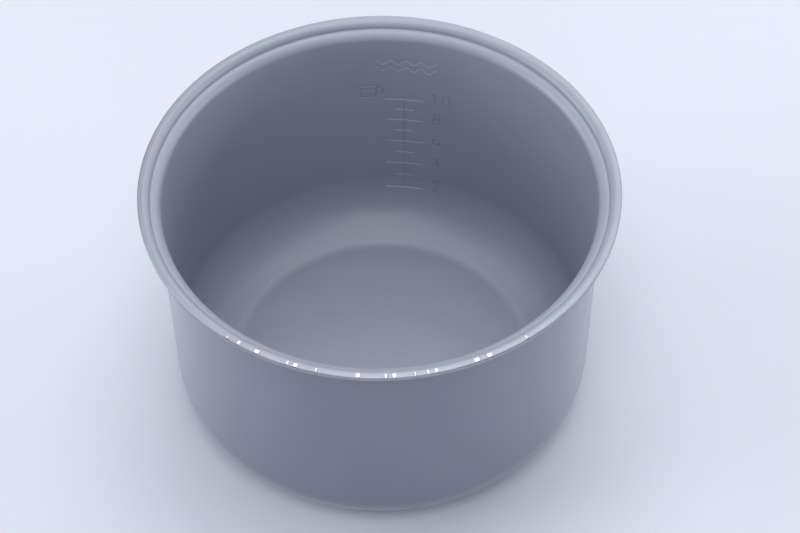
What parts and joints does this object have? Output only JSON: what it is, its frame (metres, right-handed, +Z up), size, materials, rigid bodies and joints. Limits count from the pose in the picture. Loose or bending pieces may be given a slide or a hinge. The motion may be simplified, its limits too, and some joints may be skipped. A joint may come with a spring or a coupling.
{
  "type": "rice cooker inner pot",
  "caption": "Deep round cooking pot of a rice cooker: drawn aluminium, coated inside and out, with a stepped rim that seats a lid, round corners, a domed floor and a sunk water scale.",
  "frame": {"origin": "centre of the base contact face, on the pot's axis", "axes": "+Z up along the pot's axis; the water scale is on the +Y side of the inner wall and the picture looks from -Y"},
  "size_m": [0.24, 0.24, 0.147],
  "materials": {
    "bare_aluminium": "machined satin",
    "lining_grey": "satin non-stick coating",
    "coating_grey": "satin heat-resistant coating"
  },
  "bodies": {
    "root": {"pot_shell": "bare_aluminium", "nonstick_lining": "lining_grey", "outer_coating": "coating_grey"}
  },
  "joints": []
}
